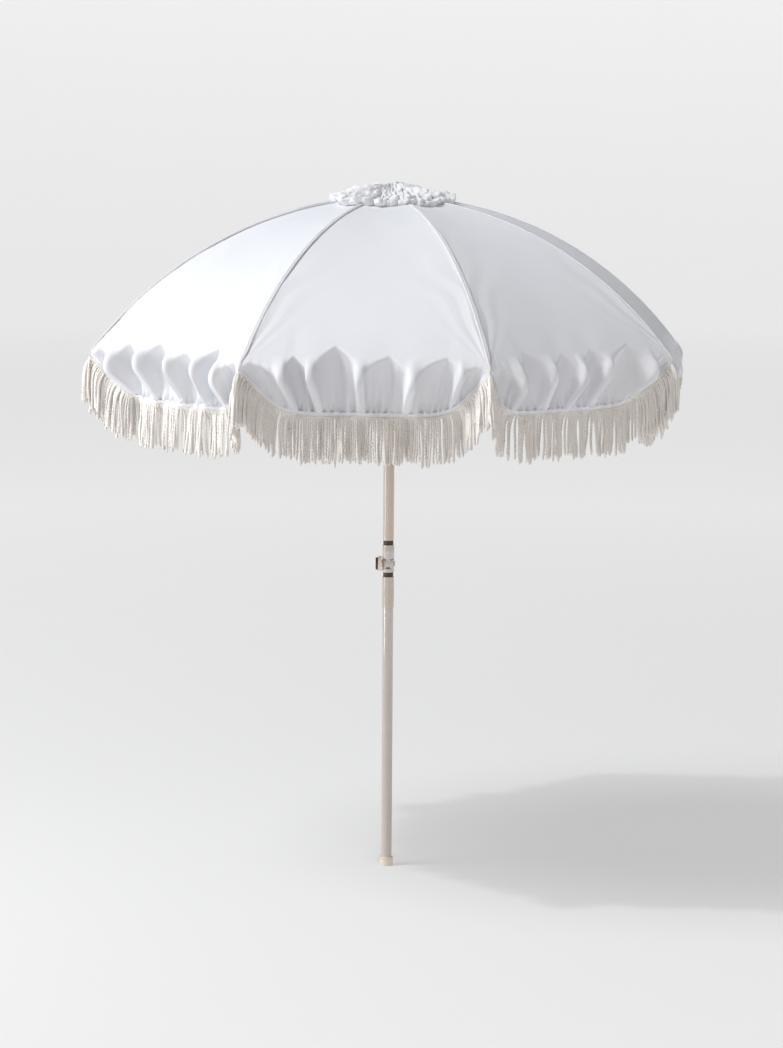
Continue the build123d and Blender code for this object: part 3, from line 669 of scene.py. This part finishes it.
def make_fringe(side, hem, away, angle):
    """Twisted cotton strands that leave the tape square to it and then hang."""
    random = np.random.default_rng(900 + side)
    length = np.concatenate([[0], np.cumsum(np.linalg.norm(np.diff(hem, axis=0), axis=1))])
    outward = np.array([cos(angle), sin(angle), 0.0])
    row = STRANDS - 2 * TIP_STRANDS
    at = (np.arange(row) + random.uniform(0.2, 0.8, row)) / row * length[-1]
    first_bunch = random.uniform(0, BUNCH_WIDTH, TIP_STRANDS)
    last_bunch = length[-1] - random.uniform(0, BUNCH_WIDTH, TIP_STRANDS)
    at = np.concatenate([first_bunch, at, last_bunch])
    root = np.stack([np.interp(at, length, hem[:, i]) for i in range(3)], 1)
    leave = np.stack([np.interp(at, length, away[:, i]) for i in range(3)], 1)
    bunch = np.ones(STRANDS)
    bunch[TIP_STRANDS:-TIP_STRANDS] = 0
    leave = leave + (bunch * random.uniform(0.1, 0.7, STRANDS))[:, None] * outward
    leave /= np.linalg.norm(leave, axis=1, keepdims=True)
    sideways = np.array([-sin(angle), cos(angle), 0.0])
    down = np.array([0.0, 0.0, -1.0])
    root = root + random.uniform(-0.0014, 0.0020, STRANDS)[:, None] * outward

    rows = STRAND_ROWS
    long = STRAND_LENGTH * random.normal(1.0, 0.04, STRANDS).clip(0.88, 1.10)
    l = np.linspace(0, 1, rows)[None] * long[:, None]
    straighten = np.exp(-((l / 0.028) ** 1.4))[..., None]
    direction = leave[:, None] * straighten + down * (1 - straighten)
    direction /= np.linalg.norm(direction, axis=2, keepdims=True)
    step = (long / (rows - 1))[:, None, None]
    fallen = np.cumsum(direction[:, 1:] * step, axis=1)
    path = root[:, None] + np.concatenate([np.zeros((STRANDS, 1, 3)), fallen], 1)

    # neighbours lean together into locks
    lock = np.cumsum(random.uniform(0, 1, STRANDS) < LOCK_CHANCE)
    place = root @ sideways
    centre = np.array([place[lock == n].mean() for n in lock])
    pull = (centre - place) * random.uniform(0.02, 0.15, STRANDS)
    lock_sway = random.normal(0, 0.0017, lock.max() + 1)[lock]
    share = l / long[:, None]
    drift = (pull + lock_sway + random.normal(0, 0.0013, STRANDS))[:, None] * share**1.3
    swing = random.uniform(0, 2 * pi, (2, STRANDS, 1))
    wiggle = 0.0013 * np.sin(share * random.uniform(4, 10, STRANDS)[:, None] + swing[0])
    path = path + (drift + wiggle * share**0.7)[..., None] * sideways
    depth = random.normal(0, 0.0045, STRANDS)[:, None] * share
    bow = 0.0020 * np.sin(share * random.uniform(3, 8, STRANDS)[:, None] + swing[1])
    path = path + (depth + bow * share**0.7)[..., None] * outward

    thick = STRAND_RADIUS * random.uniform(0.84, 1.12, STRANDS)[:, None] * (1 + 0.06 * np.sin(l * 400))
    ends = np.clip(share * 60, 0.4, 1) * np.clip((1 - share) * 22, 0.04, 1) ** 0.5
    twist = l / STRAND_TWIST * 2 * pi + random.uniform(0, 2 * pi, STRANDS)[:, None]
    points = tube_points(path, thick * ends, STRAND_SIDES, lobes=2, twist=twist, depth=0.26)
    shape = (STRANDS, rows, STRAND_SIDES)
    around = np.broadcast_to(np.arange(STRAND_SIDES) / STRAND_SIDES * 2.0, shape)
    along = np.broadcast_to((l * 200.0)[..., None], shape)
    uv = np.stack([around, along], -1)
    return new_object(f"fringe_{side}", points.reshape(-1, 3), many_tubes(points), COTTON, uv.reshape(-1, 2))


# ---------------------------------------------------------------- seams and rib tips
def seam_path(lengths, lift):
    """Radius and height over a rib, at signed lengths past the rim and at a lift off the cloth."""
    angle = RIM_ANGLE + lengths / ARC_RADIUS
    return (ARC_RADIUS + lift) * np.sin(angle), ARC_CENTRE + (ARC_RADIUS + lift) * np.cos(angle)


def make_seam(number):
    """The felled seam over one rib: a low rounded band, with a row of stitches near each edge."""
    angle = rib_angle(number)
    start = -(ARC_RADIUS * RIM_ANGLE - SEAM_TOP)
    lengths = np.linspace(start, -0.002, SEAM_ROWS)
    outline = [  # sideways, and off the cloth
        (-0.0024, -0.0010), (-0.0024, 0.0007), (-0.0015, 0.0017), (0.0, 0.0020), (0.0013, 0.0016), (0.0020, 0.0008),
        (0.0028, 0.0005), (0.0040, 0.0009), (0.0086, 0.0009), (0.0098, 0.0004), (0.0102, -0.0010),
    ]
    taper = np.clip((lengths - start) / 0.04, 0.3, 1) * np.clip(-lengths / 0.05, 0.45, 1)
    rings = []
    for across, lift in outline:
        r, z = seam_path(lengths, lift)
        rings.append(to_world(np.stack([r, across * taper, z], -1), angle))
    rings = np.stack(rings, 1)
    sides = rings.shape[1]
    uv = np.stack(np.meshgrid(lengths, np.arange(sides) * STRIP_UV, indexing="ij"), -1)
    faces = grid_faces(SEAM_ROWS, sides, closed=True)[:, ::-1]
    seam = new_object(f"seam_{number}", rings.reshape(-1, 3), faces, SEAM_CANVAS, uv.reshape(-1, 2))

    count = int(-start / STITCH_PITCH) - 4
    first = start + STITCH_PITCH + np.arange(count) * STITCH_PITCH
    t = np.linspace(0, 1, 4)[None]
    tops = []
    for edge in STITCH_ROWS:
        along = first[:, None] + STITCH_SHARE * STITCH_PITCH * t
        rise = 0.0008 + 0.0006 * np.sin(pi * t) + np.zeros_like(along)
        width = edge * np.clip(-along / 0.05, 0.45, 1)
        r, z = seam_path(along, rise)
        tops.append(to_world(np.stack([r, width, z], -1), angle))
    stitches = np.concatenate(tops)
    points = tube_points(stitches, np.full(stitches.shape[:2], STITCH_RADIUS), 4)
    wound = np.stack(np.broadcast_arrays(np.arange(4) / 4, np.arange(4)[:, None] * 1.5), -1)
    thread_uv = np.broadcast_to(wound, (len(stitches), 4, 4, 2)).reshape(-1, 2)
    name = f"seam_stitches_{number}"
    thread = new_object(name, points.reshape(-1, 3), many_tubes(points), THREAD, thread_uv)
    for piece, slot in ((seam, "canopy_cloth"), (thread, "thread")):
        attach(piece, f"rib_{number}")


def make_tip_cap(number):
    """The moulded cap that holds the cloth's corner on the end of a rib."""
    angle = rib_angle(number)
    profile = [  # along the rib, and radius
        (-0.016, 0.0026), (-0.0155, 0.0040), (-0.010, 0.0042), (-0.009, 0.0048),
        (0.0, 0.0050), (0.004, 0.0047), (0.0065, 0.0035), (0.0075, 0.0010),
    ]
    end = RIM_RADIUS - CAP_BEFORE_TIP
    slope = np.arcsin(end / ARC_RADIUS)
    centre_z = ARC_CENTRE + sqrt((ARC_RADIUS - CAP_UNDER_CLOTH) ** 2 - end**2)
    turn = np.arange(CAP_SIDES) / CAP_SIDES * 2 * pi
    rings = []
    for along, radius in profile:
        r = end + along * cos(slope) + radius * np.cos(turn) * sin(slope)
        z = centre_z - along * sin(slope) + radius * np.cos(turn) * cos(slope)
        rings.append(to_world(np.stack([r, radius * np.sin(turn), z], -1), angle))
    rings = np.stack(rings)
    faces = grid_faces(len(profile), CAP_SIDES, closed=True)[:, ::-1]
    cap = new_object(f"rib_tip_{number}", rings.reshape(-1, 3), faces, CAP_PLASTIC)
    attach(cap, f"rib_{number}")


# ---------------------------------------------------------------- rosette
def make_rosette(side):
    """One eighth of the gathered puffs on top, which fold down with the gore under them."""
    centre_angle = side_angle(side)
    columns, rows = ROSETTE_COLUMNS, ROSETTE_ROWS
    a = np.linspace(-HALF_SIDE, HALF_SIDE, columns)[None] + centre_angle
    v = np.linspace(0, 1, rows)[:, None]
    layers = [  # radius of the puff's middle, its size, lean from upright, gathers in the whole ring
        (0.143, 0.025, 0.85, 13),
        (0.112, 0.029, 0.55, 11),
        (0.080, 0.032, 0.25, 8),
        (0.048, 0.032, -0.05, 6),
        (0.020, 0.026, -0.10, 3),
    ]
    grids, areas = [], 0.0
    for number, (middle, size, lean, gathers) in enumerate(layers):
        random = np.random.default_rng(70 + number)
        phase = random.uniform(0, 2 * pi, 8)
        warp = 0.9 * np.sin(3 * a + phase[0]) + 0.5 * np.sin(7 * a + phase[1]) + 0.9 * v * np.sin(5 * a + phase[2])
        puffs = np.abs(np.sin(gathers * a + warp)) ** 0.55
        small = np.abs(np.sin((2 * gathers + 3) * a + 2.4 * v + 1.5 * warp + phase[3])) ** 0.7
        crease = np.sin(29 * a + 9 * v + phase[4]) * np.sin(13 * a - 7 * v + phase[5])
        tall = 1 + 0.20 * np.sin(3 * a + phase[6]) + 0.24 * np.sin(5 * a + phase[7])
        swell = size * tall * (0.50 + 0.46 * puffs + 0.20 * small * v + 0.10 * crease * v)
        bend = -0.45 + 3.6 * v + 0.35 * (puffs - 0.6)
        out = swell * -np.cos(bend) + size * 0.35
        lift = swell * (np.sin(bend) + 0.40) * (1 + 0.10 * crease)
        r = middle + out * cos(lean) + lift * sin(lean)
        r = np.clip(r, 0.004, None)
        across = r * np.cos(a - centre_angle) / cos(HALF_SIDE)
        middle_share = 1 - (np.tan(a - centre_angle) / tan(HALF_SIDE)) ** 2
        sag = SAG * middle_share * np.sin(across * pi / RIM_RADIUS) ** 0.8
        ground = ARC_CENTRE + np.sqrt(ARC_RADIUS**2 - across**2) - sag
        z = ground + np.maximum(lift * cos(lean) * 1.15 - out * 0.25 * sin(lean), -0.001)
        uneven = 1 + 0.22 * crease + 0.18 * np.sin(4 * a + phase[6])
        top = ROSETTE_TOP * uneven + ROSETTE_MIDDLE * np.exp(-((r / 0.06) ** 2))
        z = ground + top * np.tanh((z - ground) / top)
        around = a + 0.10 * (0.5 - puffs) * v * np.sin(gathers * a + phase[0])
        grid = np.stack([r * np.cos(around), r * np.sin(around), z], -1)
        areas += sheet_area(grid)
        grids.append(grid)
    gathered = np.stack(grids)
    normals = np.stack([surface_normals(grid) for grid in gathered])
    uv = np.stack(np.broadcast_arrays(a * 0.2, v * ROSETTE_STRIP), -1)
    uv = np.concatenate([uv.reshape(-1, 2)] * len(layers))
    one = grid_faces(rows, columns)[:, ::-1]
    faces = np.concatenate([one + rows * columns * n for n in range(len(layers))])
    # the rosette's canvas is painted lighter, to offset the shade of its puffs on one another
    piece = new_object(f"rosette_{side}", gathered.reshape(-1, 3), faces, ROSETTE_CANVAS_PAINTED_LIGHTER, uv)
    piece.data.normals_split_custom_set_from_vertices(normals.reshape(-1, 3).tolist())
    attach(piece, f"gore_{side}")
    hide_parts("ruffle")
    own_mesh(piece)


# ---------------------------------------------------------------- frame's own materials
def paint(node, material):
    """Give a node of the frame its material."""
    piece = frame["nodes"][node]
    for place in piece.material_slots:
        place.material = material
    if not piece.material_slots:
        piece.data.materials.append(material)


def paint_frame():
    for node, material in (
        ("lower_pole", LOWER_POLE_PAINT),
        ("upper_pole", POLE_PAINT),
        ("foot_cap", CREAM_PLASTIC),
        ("ferrule_lower", SLEEVE_PAINT),
        ("ferrule_upper", SLEEVE_PAINT),
        ("core_lower", DARK_PLASTIC),
        ("core_upper", DARK_PLASTIC),
        ("knuckle_fork", KNUCKLE_PAINT),
        ("knuckle_tongue", KNUCKLE_PAINT),
        ("tilt_knob", knob_material()),
        ("clamp_nut", BRASS),
        ("knob_bolt", STEEL),
        ("knob_washer", STEEL),
        ("top_hub", HUB_PLASTIC),
        ("hub_pins", STEEL),
        ("runner", HUB_PLASTIC),
        ("catch_leaf", STEEL),
        ("crown_cap", CREAM_PLASTIC),
        ("finial_screw", STEEL),
    ):
        paint(node, material)
    for number in range(1, SIDES + 1):
        paint(f"rib_{number}", RIB_PAINT)
        paint(f"stretcher_{number}", RIB_PAINT)
        paint(f"rib_bracket_{number}", STEEL)


# ---------------------------------------------------------------- stage, light and camera
KEY_PLACE = (-6.02, -2.42, 10.1)
FLOOR_DIFFUSE = (0.40, 0.40, 0.398)
FLOOR_GLOW, WALL_GLOW, GLOW_FULL_AT = 0.418, 0.648, 9.0  # at the middle, and from this far out
DISH_FLAT, DISH_BEND, DISH_TOP = 22.0, 3.0, 11.5  # radius of the flat floor, bend to the wall, height
WALL_FADE = 0.10  # share of the glow left at the wall's top
AROUND, BEND_STEPS = 96, 24


def make_stage():
    """A pale round floor that curves up into a wall, wide enough to stand behind the object in every view."""
    profile = [(0.001, 0.0), (5.0, 0.0), (DISH_FLAT, 0.0)]
    for step in range(1, BEND_STEPS + 1):
        turn = step / BEND_STEPS * pi / 2
        profile.append((DISH_FLAT + DISH_BEND * sin(turn), DISH_BEND - DISH_BEND * cos(turn)))
    profile.append((DISH_FLAT + DISH_BEND, DISH_TOP))
    around = np.arange(AROUND) / AROUND * 2 * pi
    rings = np.array([[(r * cos(a), r * sin(a), z) for a in around] for r, z in profile])
    floor, shader = new_material("pale_floor", FLOOR_DIFFUSE, 0.9)
    place = coordinates_of(floor)
    mottled = mix_colours(floor, noise(floor, place, 1.4, 4.0), (0.985, 0.985, 0.98), (1.0, 1.0, 1.0))
    far = floor.node_tree.nodes.new("ShaderNodeVectorMath")
    far.operation = "LENGTH"
    link(floor, place, far.inputs[0])
    glow = floor.node_tree.nodes.new("ShaderNodeMapRange")
    glow.inputs["From Max"].default_value = GLOW_FULL_AT
    glow.inputs["To Min"].default_value = FLOOR_GLOW
    glow.inputs["To Max"].default_value = WALL_GLOW
    link(floor, far.outputs["Value"], glow.inputs["Value"])
    height = floor.node_tree.nodes.new("ShaderNodeSeparateXYZ")
    link(floor, place, height.inputs[0])
    fade = floor.node_tree.nodes.new("ShaderNodeMapRange")
    fade.inputs["From Min"].default_value = DISH_BEND
    fade.inputs["From Max"].default_value = DISH_TOP
    fade.inputs["To Min"].default_value = 1.0
    fade.inputs["To Max"].default_value = WALL_FADE
    link(floor, height.outputs["Z"], fade.inputs["Value"])
    strength = combine(floor, "MULTIPLY", glow.outputs["Result"], fade.outputs["Result"])
    link(floor, mottled, shader.inputs["Emission Color"])
    link(floor, strength, shader.inputs["Emission Strength"])
    shader.inputs["Specular IOR Level"].default_value = 0.0
    stage = new_object("floor", rings.reshape(-1, 3), grid_faces(len(profile), AROUND, closed=True), floor)


def area_light(name, place, target, size, power, colour, height=0.0):
    """A round area light aimed at a target, or an upright rectangular one where a height is given."""
    light = bpy.data.lights.new(name, "AREA")
    light.shape = "RECTANGLE" if height else "DISK"
    light.size = size
    if height:
        light.size_y = height
    light.energy = power
    light.color = colour
    lamp = bpy.data.objects.new(name, light)
    bpy.context.scene.collection.objects.link(lamp)
    lamp.location = place
    lamp.rotation_euler = (Vector(target) - Vector(place)).to_track_quat("-Z", "Y").to_euler()


def make_lights():
    """A large soft key with a small core, which firms up the shadow's edge, and weak fills."""
    area_light("key", KEY_PLACE, (0, 0, 1.2), 5.8, 756, (0.975, 0.985, 1.0))
    area_light("key_core", KEY_PLACE, (0, 0, 1.2), 0.45, 414, (0.975, 0.985, 1.0))
    area_light("warm_front_fill", (0.8, -6.5, 2.2), (0, 0, 1.4), 2.0, 27, (1.0, 0.72, 0.56))
    area_light("left_strip", (-3.5, -0.8, 0.7), (0, 0, 0.7), 0.7, 34, (1.0, 1.0, 1.0), 1.3)
    area_light("right_fill", (3.7, -0.7, 2.5), (0, 0, 1.6), 1.6, 16, (0.97, 0.98, 1.0))
    world = bpy.data.worlds.new("studio")
    bpy.context.scene.world = world
    world.use_nodes = True
    sky = world.node_tree.nodes["Background"]
    sky.inputs["Color"].default_value = (0.90, 0.94, 1.0, 1)
    sky.inputs["Strength"].default_value = 0.07
    bpy.context.scene.view_settings.view_transform = "Standard"


def make_camera():
    """A long lens in front of the object, a little over its top, looking slightly down."""
    distance, height = 11.0, 2.429
    around, pitch, turn, roll = radians(0.29), radians(7.252), radians(0.046), radians(0.390)
    lens_over_height = 3.5742  # focal length as a share of the picture's height
    camera = bpy.data.cameras.new("camera")
    camera.sensor_width = 36.0
    camera.lens = lens_over_height * camera.sensor_width
    camera.clip_end = 100
    holder = bpy.data.objects.new("camera", camera)
    bpy.context.scene.collection.objects.link(holder)
    place = Vector((distance * sin(around), -distance * cos(around), height))
    aim = Matrix.Rotation(around - turn, 4, "Z") @ Matrix.Rotation(pi / 2 - pitch, 4, "X")
    aim = aim @ Matrix.Rotation(roll, 4, "Z")
    holder.matrix_world = Matrix.Translation(place) @ aim
    bpy.context.scene.camera = holder


make_camera()
make_stage()
make_lights()
paint_frame()
for n in range(1, SIDES + 1):
    make_side(n)
    make_seam(n)
    make_tip_cap(n)
    make_rosette(n)
